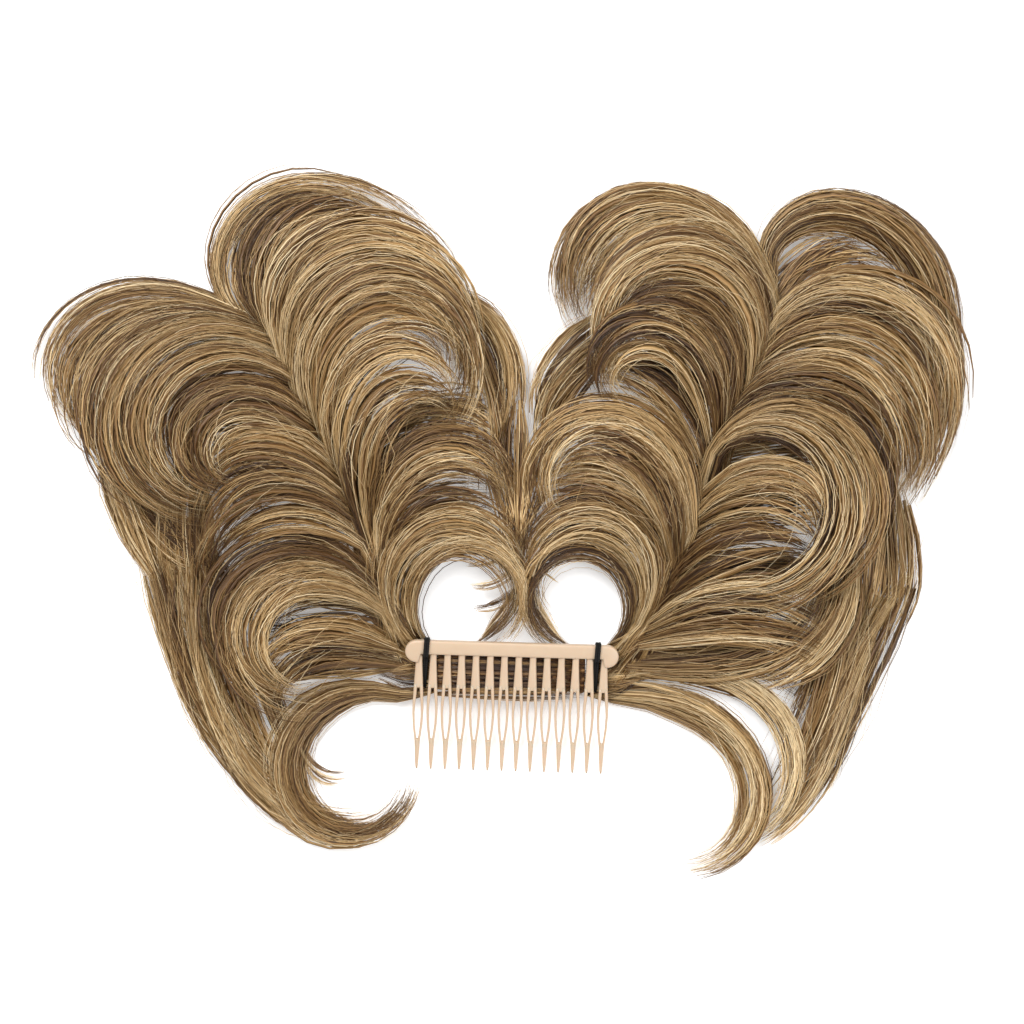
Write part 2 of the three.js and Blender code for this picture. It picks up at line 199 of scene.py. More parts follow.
RIGHT_INNER = np.array([
    (98.6, 142.3, 122, 138, 190, 1.36, 8, 8, 7, 5, 6, 0.5, 0.5),
    (96, 138.5, 122.5, 125, 188, 1.5, 15, 10, 11, 12, 7, 0.6, 0.7),
    (98, 131, 113, 104, 166, 1.2, 14, 10, 12, 16, 11, 0.7, 1),
    (95, 114, 86, 142, 260, 1.1, 14, 10, 14, 20, 12, 0.5, 1),
    (86, 97, 80, 90, 176, 1.3, 18, 10, 16, 23, 17, 0.45, 1),
    (75, 77, 96, 94, 246, 2.0, 19, 10, 14, 27, 20, 0.5, 1),
    (37.5, 126.2, 218, 56.5, 66, 2.2, 16.5, 8, 10, 8, 7, 0.5, 0.8),
    (38, 112, 212, 60, 60, 1.1, 15, 8, 13, 8, 6, 0.4, 1),
    (74, 66, 104, 74, 96, 1.5, 18, 8, 12, 15, 10, 0.4, 1.2),
    (67, 45, 94, 120, 232, 1.5, 15, 10, 17, 21, 11, 0.6, 1),
    (61, 34, 97, 80, 140, 1.8, 18, 11, 16, 25, 16, 0.45, 1),
    (48, 9, 60, 103, 224, 1.2, 14, 11, 11, 16, 10, 0.5, 1),
    (60, 34, 106, 72, 112, 1.2, 16, 8, 14, 17, 9, 0.45, 1),
    (43, 5, 52, 105, 268, 1.14, 12, 10, 7, 12, 7, 0.45, 0.8),
    (37.4, 0.8, 43, 110, 309, 1.07, 9, 9, 5, 13, 6, 0.5, 0.4),
])
RIGHT_OUTER = np.array([
    (94.5, 149.5, 107, 147, -229, 0.54, 7, 6, 7, 5, 5, 0.4, 0.4),
    (97, 142, 130, 140, -253, 0.52, 17, 10, 10, 10, 6, 0.45, 0.6),
    (144, 150.5, 338, 112, -106, 0.58, 16, 8, 7, 7, 6, 0.65, 0.7),
    (96, 116, 72, 120, -188, 0.85, 20, 11, 13, 17, 9, 0.5, 1),
    (91, 103, 61, 115, -180, 0.85, 18, 10, 14, 21, 10, 0.55, 1),
    (84, 90, 48, 97, -152, 0.9, 17, 10, 16, 23, 11, 0.4, 1),
    (80, 82, 60, 120, -205, 0.95, 16, 10, 14, 17, 8, 0.4, 1),
    (76, 73, 64, 140, -260, 0.8, 16, 11, 17, 26, 18, 0.45, 1),
    (71, 56, 36, 69, -160, 1.7, 16, 10, 17, 30, 22, 0.5, 1),
    (67, 39, 33, 54, -80, 1.4, 16, 10, 16, 27, 20, 0.5, 1),
    (58, 19, 47, 60, -60, 1.1, 17, 10, 13, 23, 17, 0.45, 1),
    (51, 7, 28, 74, -64, 1.3, 15, 10, 11, 20, 13, 0.45, 1),
    (44, 1, 16, 80, -46, 1.2, 15, 10, 7, 16, 11, 0.4, 1),
    (41, -6, 357, 104, 112, 2.4, 13, 10, 6, 13, 14, 0.45, 1),
    (39, -10, 10, 124, -172, 1.66, 10, 9, 5, 9, 5, 0.6, 0.6),
    (40, -11.5, 355, 88, -100, 1.5, 4, 5, 5, 7, 5, 0.45, 0.5),
    (128, 34, 271, 72, -92, 1.25, 12, 9, 13, 12, 9, 0.55, 0.8),
    (142.5, 65, 279, 66, -55, 3, 15, 9, 10, 5, 5, 0.5, 1),
    (151.5, 28, 241, 91, 20, 3.6, 16, 9, 6, 5, 5, 0.5, 1),
    (126, 24, 268, 94, -38, 1.2, 18, 8, 8, 6, 5, 0.5, 1.2),
    (122, 62, 285, 98, -50, 1.1, 20, 6, 6, 5, 4, 0.4, 1.5),
    (136.5, 10, 249, 98, -45, 4.7, 13, 8, 6, 6, 5, 0.5, 0.8),
    (38.3, -17, 358, 120, -181, 1.6, 15, 9, 4, 6, 5, 0.6, 0.6),
])
# Lower sheets of hair that close the hollows under the curls
LEFT_UNDER = np.array([
    (-72, 84, 78, 58, -70, 1, 24, 4, 8, 6, 5, 0.36, 2),
    (-58, 52, 72, 60, -66, 1, 28, 4, 8, 6, 5, 0.36, 2),
    (-58, 66, 50, 64, -44, 1, 24, 4, 8, 6, 5, 0.36, 2),
    (-44, 80, 30, 52, -70, 1, 26, 4, 8, 6, 5, 0.36, 2),
    (-50, 38, 54, 56, -56, 1, 22, 4, 8, 6, 5, 0.36, 2),
    (-76, 88, 164, 62, 56, 1, 26, 4, 8, 6, 5, 0.36, 2),
    (-66, 66, 168, 56, 44, 1, 28, 4, 8, 6, 5, 0.36, 2),
    (-52, 16, 160, 56, 40, 1, 24, 4, 6, 5, 4, 0.36, 2),
    (-46, 6, 164, 58, 36, 1, 18, 4, 6, 5, 4, 0.36, 2),
    (-46, -5, 176, 58, 16, 1, 18, 4, 5, 5, 4, 0.36, 2),
    (-8, 80, 300, 54, -34, 1, 15, 5, 8, 8, 8, 0.36, 1.5),
    (2, 94, 268, 62, 4, 1, 13, 5, 9, 9, 8, 0.3, 1),
    (-94, 124, 125, 70, -140, 1, 20, 4, 8, 7, 6, 0.4, 1.5),
])
RIGHT_UNDER = np.array([
    (92, 112, 100, 72, 110, 1, 24, 4, 8, 6, 5, 0.36, 2),
    (96, 118, 68, 72, -96, 1, 26, 4, 8, 6, 5, 0.36, 2),
    (82, 92, 112, 62, 70, 1, 26, 4, 8, 6, 5, 0.36, 2),
    (68, 48, 118, 58, 62, 1, 26, 4, 8, 6, 5, 0.36, 2),
    (60, 40, 130, 52, 56, 1, 20, 4, 8, 6, 5, 0.36, 2),
    (66, 54, 138, 56, 52, 1, 22, 4, 8, 6, 5, 0.36, 2),
    (63, 37, 146, 50, 34, 1, 16, 4, 8, 6, 5, 0.36, 2),
    (76, 72, 24, 70, -50, 1, 28, 4, 8, 6, 5, 0.36, 2),
    (70, 52, 28, 72, -44, 1, 28, 4, 8, 6, 5, 0.36, 2),
    (62, 24, 18, 72, -34, 1, 26, 4, 8, 6, 5, 0.36, 2),
    (58, 14, 30, 66, -40, 1, 20, 4, 7, 6, 5, 0.36, 2),
    (52, 2, 14, 74, -30, 1, 20, 4, 6, 5, 4, 0.36, 2),
    (46, -3, 6, 70, -32, 1, 20, 4, 6, 5, 4, 0.36, 2),
    (16, 84, 240, 56, 30, 1, 15, 5, 8, 8, 8, 0.36, 1.5),
    (96, 128, 76, 54, -90, 1, 22, 4, 8, 7, 6, 0.4, 1.5),
    (94, 132, 120, 92, 128, 1, 20, 4, 8, 7, 6, 0.4, 1.5),
    (134, 64, 268, 72, -10, 1, 18, 4, 7, 6, 5, 0.4, 1.5),
])
# Short hooked tips about the two rings and the tail, and the hair roots behind the comb's teeth
WISPS = np.array([
    (0, 36, 208, 19, -26, 1, 4, 4, 10, 9, 8, 0.5, 1),
    (1.5, 30, 232, 21, -66, 1, 5, 4, 9, 8, 7, 0.55, 1),
    (2, 23, 238, 21, -70, 1, 6, 4, 8, 7, 6, 0.55, 1),
    (3.5, 26, 258, 32, -46, 1, 10, 5, 7, 6, 5, 0.5, 0.5),
    (5, 26, 282, 33, 46, 1, 10, 5, 7, 6, 5, 0.5, 0.5),
    (8, 31, 324, 12, 8, 1, 3, 3, 8, 7, 6, 0.5, 1),
    (-80, -32, 277, 29, 110, 1.4, 4, 4, 5, 5, 4, 0.5, 0.7),
    (-78, -40, 286, 19, 80, 1.3, 3, 4, 5, 5, 4, 0.5, 0.7),
    (-25, -9, 182, 26, -6, 1, 16, 5, 5, 6, 7, 0.3, 0.6),
    (25, -10, 358, 26, 6, 1, 16, 5, 5, 6, 7, 0.3, 0.6),
    (-28, -4, 358.3, 56, 0, 1, 3, 1, 9.7, 9.7, 9.7, 0.02, 0.5),
    (-28, -7, 358.3, 56, 0, 1, 4, 1, 9, 9, 9, 0.1, 0.5),
    (-28, -10.5, 358.3, 56, 0, 1, 4, 1, 8.2, 8.2, 8.2, 0.15, 0.5),
    (-28, -14, 358.3, 56, 0, 1, 4, 1, 7.4, 7.4, 7.4, 0.2, 0.5),
    (-28, -16.6, 358.3, 56, 0, 1, 4, 1, 6.8, 6.8, 6.8, 0.25, 0.8),
])
ROOT_SHARE = 0.45
SWELL_END = 0.28
TAPER_START = 0.58
STRAND_TIP = 0.34

# Stems: where each wing's bound roots leave the comb, bend and rise, and where the stem ends
STEMS = {
    "left": ((-28, -7.4, 5.6), (-52, -6.8, 5.6), (-55, 45, 19), (-96, 126, 10)),
    "right": ((28, -8.8, 5.6), (51, -9.4, 5.6), (72, 50, 20), (98, 148, 10)),
}
STEM_WIDE = (17, 7)
STEM_DEEP = (6, 6)

# Lines of hair to each square millimetre of a lock, and the fewest that a lock has
RIBBONS_PER_AREA = 0.013
STRANDS_PER_AREA = 0.064
UNDER_PER_AREA = 0.05
WISPS_PER_AREA = 0.29
FLYAWAYS_PER_AREA = 0.017
LEAST_LINES = 4
LEAST_FLYAWAYS = 3

# Clumps of a lock: how far they differ from its row, where they lie in its section, and their tone
CLUMP_ERRORS = {"heading": 1.4, "turn": 0.04, "length": 0.045, "gather": 0.05}
CLUMP_ANGLES = (-0.2 * math.pi, 1.2 * math.pi)
CLUMP_REACH = (0.04, 0.62)
TONE_SPREAD = 0.16
# Bands of paler and darker tone across a lock: partly the hair's own streaks, partly painted highlight
TONE_BANDS = 3.4
BAND_STREAK_AND_HIGHLIGHT = 0.28
MOST_ERROR = 2

# How far a clump's row may move to a row beside it, and the gaps between rows that allow it
BLEND = 0.5
CLOSE_ROOTS = 26
CLOSE_HEADINGS = 50
CLOSE_TURNS = 90

# Ribbons of close-set hair, one to each clump: half as pale as their clump, painted shade between strands
RIBBON_SIDES = 3
RIBBON_WIDE = 0.16
RIBBON_DEEP = 0.04
RIBBON_SINK = 0.28
RIBBON_TILT = 0.45
RIBBON_SHORT = 0.16
# A ribbon's tone: this much plus this share of its clump's tone, which paints shade between strands
RIBBON_SHADE_OFFSET = 0.02
RIBBON_SHADE_SHARE = 0.5
RIBBON_BAND = 0.05

# Strands about the clumps, with their radius and the shares of it at root and tip
STRAND_SIDES = 3
STRAND_ERRORS = {"heading": 0.7, "turn": 0.02, "length": 0.03, "gather": 0.02}
STRAND_ASIDE = (0.16, 0.14)
STRAND_TONE = (0.02, 0.16)
STRAND_SHORT = 0.2
STRAND_RADIUS = 0.135
RADIUS_SPREAD = (0.6, 1.5)
RADIUS_AT_ROOT = 0.7
RADIUS_GAIN = 0.3
RADIUS_FULL = 0.2
RADIUS_LOSS = 0.82
RADIUS_FALLS = 0.7
UNDER_THICK = 2.2
WISP_THICK = 0.65

# Flyaways, which are finer and roam across their lock
FLYAWAY_ERRORS = {"heading": 4, "turn": 0.06, "length": 0.06, "gather": 0.06}
FLYAWAY_ASIDE = (0.3, 0.15)
FLYAWAY_LIFT = 0.4
FLYAWAY_ROAM = 0.45
FLYAWAY_TONE = (0.15, 0.2)
FLYAWAY_SHORT = 0.3
FLYAWAY_THICK = 0.48
FLYAWAY_FEWER = 3

# How far along a lock its lines may begin, and their lowest height over the table
ROOT_SPREAD = 0.22
FLOOR_CLEAR = 0.3

# Lines along a lock: their straight parts, and how they drift, roam and draw together
TURN_PER_STEP = 18
EXTRA_STEPS = 3
LEAST_STEPS = 6
MOST_STEPS = 17
PARTS_PER_STEP = 3
FINE_PARTS = 400
DRIFT = 0.1
DRIFT_TURN = 4
DRIFT_LIFT = 0.6
ROAM_TURN = 7
ROAM_FULL = 0.3
DRAWN_IN = 0.75
DRAWN_FROM = 0.4

# The way that lines run up their wing's stem before they leave it
ROOT_REACH = 16
LEAD_LENGTH = 26
LEAD_STEPS = 2
LEAD_SLOPE = 0.4
LEAD_SPREAD = 0.25
LEAD_BACK = (0.5, 1.2)
LEAD_LEAN = (0, 0.6)
LEAD_LIFT = (-0.4, 0.6)

# Hair on the map: the ends of a line, where the tones begin and how tall they are, and a cell
MAP_ENDS = (0.01, 0.99)
MAP_FOOT = 0.06
MAP_TALL = 0.88
MAP_CELL = 1.5 / 1024


class Value:
    """A socket in a material's nodes. Operators on it add Math nodes, and node() adds any other node."""

    def __init__(self, tree, socket=None):
        self.tree = tree
        self.socket = socket

    def node(self, kind, settings, inputs, output=0):
        """Adds a node of that kind, sets its settings, then its sockets, and returns one output."""
        made = self.tree.nodes.new(kind)
        for name, setting in settings.items():
            if name == "stops":
                set_stops(made.color_ramp, setting)
            else:
                setattr(made, name, setting)
        for name, value in inputs.items():
            if isinstance(value, Value):
                self.tree.links.new(value.socket, made.inputs[name])
            else:
                made.inputs[name].default_value = value
        return Value(self.tree, made.outputs[output])

    def other(self, output):
        """Another output of the same node."""
        return Value(self.tree, self.socket.node.outputs[output])

    def math(self, operation, *terms):
        """A Math node's result of these terms."""
        return self.node("ShaderNodeMath", {"operation": operation}, dict(enumerate(terms)))

    def __add__(self, other):
        return self.math("ADD", self, other)

    def __radd__(self, other):
        return self.math("ADD", other, self)

    def __sub__(self, other):
        return self.math("SUBTRACT", self, other)

    def __rsub__(self, other):
        return self.math("SUBTRACT", other, self)

    def __mul__(self, other):
        return self.math("MULTIPLY", self, other)

    def __rmul__(self, other):
        return self.math("MULTIPLY", other, self)

    def sine(self):
        """The sine of this value."""
        return self.math("SINE", self)

    def absolute(self):
        """This value without its sign."""
        return self.math("ABSOLUTE", self)

    def clamped(self):
        """This value, kept from 0 to 1."""
        return self.node("ShaderNodeClamp", {}, {"Value": self})

    def scaled(self, factor):
        """A colour or vector times a number."""
        return self.node("ShaderNodeVectorMath", {"operation": "SCALE"}, {0: self, "Scale": factor})

    def stretched(self, scale):
        """A vector times another, part by part."""
        return self.node("ShaderNodeVectorMath", {"operation": "MULTIPLY"}, {0: self, 1: scale})

    def noise(self, scale, detail=2.0, roughness=0.5):
        """Noise from 0 to 1 at this place."""
        inputs = {"Vector": self, "Scale": scale, "Detail": detail, "Roughness": roughness}
        return self.node("ShaderNodeTexNoise", {}, inputs)

    def ramp(self, stops):
        """A colour ramp over this value, with stops of (place, colour)."""
        return self.node("ShaderNodeValToRGB", {"stops": stops}, {"Fac": self})

    def mixed(self, first, second):
        """A colour from first to second as this value goes from 0 to 1."""
        inputs = {"Factor": self, 6: first, 7: second}
        return self.node("ShaderNodeMix", {"data_type": "RGBA"}, inputs, output=2)

    def bump(self, strength, distance):
        """A normal bumped by this height."""
        inputs = {"Height": self, "Strength": strength, "Distance": distance}
        return self.node("ShaderNodeBump", {}, inputs)


def set_stops(color_ramp, stops):
    """Gives a colour ramp these stops of (place, colour), with as many elements as it needs."""
    while len(color_ramp.elements) < len(stops):
        color_ramp.elements.new(0.5)
    for element, (place, colour) in zip(color_ramp.elements, stops):
        element.position = place
        element.color = colour


def colour(red, green, blue):
    """A display colour from 0 to 255 as the linear colour that shaders take."""
    parts = np.array([red, green, blue]) / 255
    linear = np.where(parts <= 0.04045, parts / 12.92, ((parts + 0.055) / 1.055) ** 2.4)
    return (*map(float, linear), 1.0)


def finish(name, make_inputs):
    """A material of one Principled shader, whose sockets come from make_inputs(start)."""
    material = bpy.data.materials.new(name)
    material.use_nodes = True
    tree = material.node_tree
    tree.nodes.clear()
    start = Value(tree)
    surface = start.node("ShaderNodeBsdfPrincipled", {}, make_inputs(start))
    output = tree.nodes.new("ShaderNodeOutputMaterial")
    tree.links.new(surface.socket, output.inputs["Surface"])
    return material


# Hair's colours by tone, and how far broad patches and fine stripes move the tone along a strand
HAIR_TONES = [
    (0.0, colour(54, 31, 10)),
    (0.22, colour(105, 72, 35)),
    (0.5, colour(164, 127, 76)),
    (0.78, colour(221, 188, 134)),
    (1.0, colour(253, 232, 190)),
]
PATCHES = (5.0, 37.0, 0.0)
PATCH_TONE = 0.25
STRIPES = (2.0, 110.0, 0.0)
STRIPE_TONE = 1.05
ROOT_SHADE = 0.84
TIP_GAIN = 0.2

# How fine the plastic's mottle and grain, the ties' braid and the weft's threads are
MOTTLE = 220.0
GRAIN = 2600.0
BRAID_RIBS = 420.0
BRAID_SLANT = 6.3
THREADS = (26.0, 44.0, 0.0)
WEFT_RIBS = 150.0

# How the weft's ribs show, and how its tan ends begin
RIB_TONE = 0.12
TAN_RISE = 5.0
TAN_FROM = 1.1
TAN_THREADS = 3.0


def hair_inputs(start):
    """Hair: the map's u runs from root to tip, and its v is the tone of a strand or of a stripe."""
    place = start.node("ShaderNodeUVMap", {"uv_map": "OFBake"}, {})
    along = start.node("ShaderNodeSeparateXYZ", {}, {"Vector": place})
    patch = place.stretched(PATCHES).noise(1.0)
    stripe = place.stretched(STRIPES).noise(1.0, 2.0, 0.6)
    tone = along.other("Y") + (patch - 0.5) * PATCH_TONE + (stripe - 0.5) * STRIPE_TONE
    base = tone.ramp(HAIR_TONES).scaled(ROOT_SHADE + along * TIP_GAIN)
    return {"Base Color": base, "Roughness": 0.4, "IOR": 1.5, "Normal": stripe.bump(0.35, 0.0004)}


def plastic_inputs(start):
    """Moulded nude plastic: a faint mottle in its colour and a fine grain in its gloss."""
    place = start.node("ShaderNodeTexCoord", {}, {}, output="Object")
    mottle = place.noise(MOTTLE, 3.0)
    grain = place.noise(GRAIN, 2.0)
    base = mottle.mixed(colour(190, 165, 139), colour(199, 175, 149))
    return {
        "Base Color": base,
        "Roughness": 0.3 + grain * 0.16,
        "Subsurface Weight": 0.25,
        "Subsurface Radius": (1.0, 0.55, 0.35),
        "Subsurface Scale": 0.0012,
        "Normal": grain.bump(0.12, 0.00008),
    }


def elastic_inputs(start):
    """Covered elastic: a braid of fine slanted ribs."""
    place = start.node("ShaderNodeUVMap", {"uv_map": "OFBake"}, {})
    split = start.node("ShaderNodeSeparateXYZ", {}, {"Vector": place})
    height = (split * BRAID_RIBS + split.other("Y") * BRAID_SLANT).sine() * 0.5 + 0.5
    base = height.mixed(colour(5, 5, 5), colour(26, 24, 22))
    return {
        "Base Color": base,
        "Roughness": 0.7,
        "Specular IOR Level": 0.2,
        "Normal": height.bump(0.5, 0.0002),
    }


def weft_inputs(start):
    """Sewn band: dark brown ribs of thread along it, with the tan of the sewn hair towards its ends."""
    place = start.node("ShaderNodeUVMap", {"uv_map": "OFBake"}, {})
    along = start.node("ShaderNodeSeparateXYZ", {}, {"Vector": place})
    threads = place.stretched(THREADS).noise(1.0, 3.0)
    from_middle = (along - 0.5).absolute()
    worn = (from_middle * TAN_RISE - TAN_FROM + (threads - 0.5) * TAN_THREADS).clamped()
    rib = (along.other("Y") * WEFT_RIBS).sine() * RIB_TONE + threads
    dark = rib.ramp([(0.3, colour(18, 8, 4)), (0.55, colour(48, 25, 13)), (0.8, colour(104, 66, 38))])
    tan = rib.ramp([(0.3, colour(44, 25, 12)), (0.55, colour(84, 55, 29)), (0.8, colour(150, 112, 70))])
    return {
        "Base Color": worn.mixed(dark, tan),
        "Roughness": 0.65,
        "Specular IOR Level": 0.2,
        "Normal": rib.bump(0.7, 0.0004),
    }


def floor_inputs(start):
    """A matt white table that glows a little, so that it stays white under soft light."""
    return {
        "Base Color": colour(246, 246, 246),
        "Roughness": 0.7,
        "Emission Color": (1.0, 1.0, 1.0, 1.0),
        "Emission Strength": 0.24,
    }


def rising(low, high, value):
    """A smooth step, 3t^2 - 2t^3 of the share t of the way from low to high."""
    t = np.clip((value - low) / (high - low), 0, 1)
    return t * t * (3 - 2 * t)


def tube_part(corners, places):
    """Faces of closed tubes from corners[tube, ring, side], with places on the map.

    Quads join each ring to the next, and a flat cap closes each end. places has one more side than
    corners, so that the map can run on where the last side meets the first."""
    tubes, rings, sides = corners.shape[:3]
    index = np.arange(tubes * rings * sides).reshape(tubes, rings, sides)
    wide = np.concatenate([index, index[:, :, :1]], axis=2)
    faces = []
    maps = []
    for grid, found in ((wide, faces), (places, maps)):
        around = [grid[:, :-1, :-1], grid[:, 1:, :-1], grid[:, 1:, 1:], grid[:, :-1, 1:]]
        ends = np.concatenate([grid[:, 0, :-1], grid[:, -1, -2::-1]])
        found.append(np.stack(around, axis=3))
        found.append(ends)
    faces = [faces[0].reshape(-1, 4), faces[1].reshape(-1, sides)]
    maps = [maps[0].reshape(-1, 2), maps[1].reshape(-1, 2)]
    return corners.reshape(-1, 3), faces, maps


def mesh_of(name, parts, mapped):
    """One smooth mesh of many parts, each (corners, faces, map places).

    A mapped mesh carries the places as the map OFBake."""
    first = np.cumsum([0] + [len(corners) for corners, _, _ in parts])
    faces = [face + start for start, (_, found, _) in zip(first, parts) for face in found]
    corners = np.concatenate([part[0] for part in parts])
    places = np.concatenate([place for part in parts for place in part[2]])
    loops = np.concatenate([face.ravel() for face in faces])
    totals = np.concatenate([np.full(len(face), face.shape[1]) for face in faces])
    mesh = bpy.data.meshes.new(name)
    mesh.vertices.add(len(corners))
    mesh.vertices.foreach_set("co", ((corners + shift) * METRES).ravel())
    mesh.loops.add(len(loops))
    mesh.loops.foreach_set("vertex_index", loops.astype(np.int32))
    mesh.polygons.add(len(totals))
    mesh.polygons.foreach_set("loop_start", (np.cumsum(totals) - totals).astype(np.int32))
    mesh.polygons.foreach_set("use_smooth", np.ones(len(totals), dtype=bool))
    if mapped:
        layer = mesh.uv_layers.new(name="OFBake")
        layer.data.foreach_set("uv", places.astype(np.float32).ravel())
    mesh.update(calc_edges=True)
    mesh.validate()
    return mesh


def add_piece(name, parts, material, slot, *nodes, mapped=True):
    """A finished piece that rides on the part and stands for the named solids."""
    mesh = mesh_of(name, parts, mapped)
    mesh.materials.append(material)
    piece = bpy.data.objects.new(name, mesh)
    bpy.context.scene.collection.objects.link(piece)
    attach(piece, "root")
    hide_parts(*nodes)
    return piece


def even_map(tubes, rings, sides, along=1.0, around=1.0):
    """Map places that run along u over the rings and along v round the sides."""
    u = np.linspace(0, along, rings)[None, :, None]
    v = np.linspace(0, around, sides + 1)[None, None, :]
    return np.stack(np.broadcast_arrays(u, v, np.zeros((tubes, 1, 1))), axis=-1)[..., :2]


def round_box(angle, power):
    """A rounded box as a superellipse: cos and sin of the angle, each to the power 2 / power."""
    cosine = np.cos(angle)
    sine = np.sin(angle)
    return np.sign(cosine) * np.abs(cosine) ** (2 / power), np.sign(sine) * np.abs(sine) ** (2 / power)


def on_comb(points):
    """Points of the comb's own plane as it lies: pitched about X, turned about Z and lifted."""
    pitch = math.radians(COMB_PITCH)
    yaw = math.radians(COMB_YAW)
    x, y, z = np.moveaxis(points, -1, 0)
    across = y * math.cos(pitch) - z * math.sin(pitch)
    height = y * math.sin(pitch) + z * math.cos(pitch)
    turned_x = x * math.cos(yaw) - across * math.sin(yaw)
    turned_y = x * math.sin(yaw) + across * math.cos(yaw)
    return np.stack([turned_x, turned_y, height + COMB_HEIGHT], axis=-1)


def bar_corners():
    """The bar: a rounded box carried along X, whose top and foot follow the bar and its end lobes.

    Past the lobes' middles both edges follow a circle, and the foot drops to the lobe in a smooth step.
    The bar thins towards its ends with the circle's own drop."""
    reach = BAR_HALF_LENGTH - LOBE_RADIUS
    nearly_all = 0.999
    end = reach + LOBE_RADIUS * np.sin(np.linspace(0, math.pi / 2, 9)) * nearly_all
    inner = np.linspace(0, LOBE_INNER - 0.6, 12)
    edge = np.linspace(LOBE_INNER - 0.4, reach, 6)[:-1]
    half = np.concatenate([inner, edge, end])
    x = np.concatenate([-half[:0:-1], half])
    beyond = np.clip(np.abs(x) - reach, 0, LOBE_RADIUS)
    drop = np.sqrt(LOBE_RADIUS ** 2 - beyond ** 2)
    middle = BAR_TOP - LOBE_RADIUS
    lobe = rising(LOBE_INNER - LOBE_EASE, LOBE_INNER + LOBE_EASE, np.abs(x))
    top = np.where(np.abs(x) > reach, middle + drop, BAR_TOP)
    foot = BAR_FOOT + (middle - drop - BAR_FOOT) * lobe
    thick = BAR_HALF_THICK * (0.45 + 0.55 * drop / LOBE_RADIUS)
    angle = np.linspace(0, 2 * math.pi, BAR_SIDES + 1)[:-1]
    across, through = round_box(angle, BAR_POWER)
    y = ((top + foot) / 2)[:, None] + ((top - foot) / 2)[:, None] * across
    z = thick[:, None] * through
    return np.stack([np.broadcast_to(x[:, None], y.shape), y, z], axis=-1)[None]


def tooth_value(down, column):
    """A column of the tooth's table at a distance down it."""
    table = dict(zip(TOOTH_COLUMNS, TOOTH_SECTIONS.T))
    return np.interp(down, table["down"], table[column])


def blade(down, left, right, thin):
    """A tapered blade down -Y: a rounded box from left to right, thin times as thick as the tooth."""
    angle = np.linspace(0, -2 * math.pi, TOOTH_SIDES + 1)[:-1]
    across, through = round_box(angle, TOOTH_POWER)
    x = ((left + right) / 2)[:, None] + ((right - left) / 2)[:, None] * across
    z = (TOOTH_FRONT + TOOTH_BACK) / 2 + (TOOTH_FRONT - TOOTH_BACK) / 2 * thin[:, None] * through
    y = np.broadcast_to(-down[:, None], x.shape)
    return np.stack([x, y, z], axis=-1)


def tooth_corners(x):
    """A tooth: a solid shank, two prongs that bow round the needle eye, and the tip that joins them.

    Each is a blade. The shank and the tip close in smooth steps where they run into the prongs."""
    first, last = TOOTH_SECTIONS[0, 0], TOOTH_SECTIONS[-1, 0]
    eye = TOOTH_SECTIONS[TOOTH_SECTIONS[:, 2] > 0, 0]
    shank_end = eye[0] + np.array(SHANK_END)
    shank = np.concatenate([np.linspace(first, shank_end[0], SHANK_STEPS), shank_end[1:]])
    tip = np.concatenate([eye[-1] + np.array(TIP_START), np.linspace(eye[-1], last, TIP_STEPS)])
    prong = np.linspace(eye[0] + PRONG_ENDS[0], eye[-1] + PRONG_ENDS[1], PRONG_STEPS)
    half = tooth_value(shank, "half")
    close = 1 - SHANK_CLOSED * rising(*(eye[0] + np.array(SHANK_CLOSES)), shank)
    made = [blade(shank, -half * close, half * close, np.ones_like(shank))]
    half = tooth_value(tip, "half")
    close = rising(*(eye[-1] + np.array(TIP_OPENS)), tip) * (1 - TIP_LEAST) + TIP_LEAST
    point = 1 - TIP_POINTED * rising(eye[-1], last, tip)
    made.append(blade(tip, -half * close, half * close, point * TIP_THICK))
    outer = tooth_value(prong, "half") * PRONG_WIDE
    inner = np.maximum(tooth_value(prong, "eye"), LEAST_EYE)
    slim = PRONG_THICK - PRONG_SLIMMED * rising(eye[0], eye[-1], prong)
    slim = slim * (1 - PRONG_CLOSED * rising(eye[-1], prong[-1], prong))
    made.append(blade(prong, inner, outer, slim))
    made.append(blade(prong, -outer, -inner, slim))
    return [(corners + np.array([x, 0, 0]))[None] for corners in made]


def tooth_places():
    """Where the teeth stand along X, a pitch apart about the middle."""
    return (np.arange(TOOTH_COUNT) - (TOOTH_COUNT - 1) / 2) * TOOTH_PITCH


def comb_parts():
    """The bar and every tooth, as they lie."""
    shapes = [bar_corners()]
    for x in tooth_places():
        shapes.extend(tooth_corners(x))
    return [tube_part(on_comb(shape), even_map(*shape.shape[:3])) for shape in shapes]


def smooth_loop(points, steps):
    """A closed smooth curve through points, as a periodic cubic with Catmull-Rom slopes."""
    before, after = np.roll(points, 1, axis=0), np.roll(points, -1, axis=0)
    later = np.roll(points, -2, axis=0)
    t = np.linspace(0, 1, steps, endpoint=False)[None, :, None]
    p0, p1, p2, p3 = (p[:, None, :] for p in (before, points, after, later))
    curve = p1 + t * (p2 - p0) / 2 + t ** 2 * (p0 - 2.5 * p1 + 2 * p2 - p3 / 2)
    curve = curve + t ** 3 * (1.5 * (p1 - p2) + (p3 - p0) / 2)
    return curve.reshape(-1, points.shape[1])


def ring_part(corners, places):
    """Faces of a closed ring from corners[ring, side], joined round both ways."""
    rings, sides = corners.shape[:2]
    index = np.arange(rings * sides).reshape(rings, sides)
    index = np.pad(index, ((0, 1), (0, 1)), mode="wrap")
    corner_of = [np.s_[:-1, :-1], np.s_[1:, :-1], np.s_[1:, 1:], np.s_[:-1, 1:]]
    faces = np.stack([index[c] for c in corner_of], axis=2).reshape(-1, 4)
    maps = np.stack([places[c] for c in corner_of], axis=2).reshape(-1, 2)
    return corners.reshape(-1, 3), [faces], [maps]


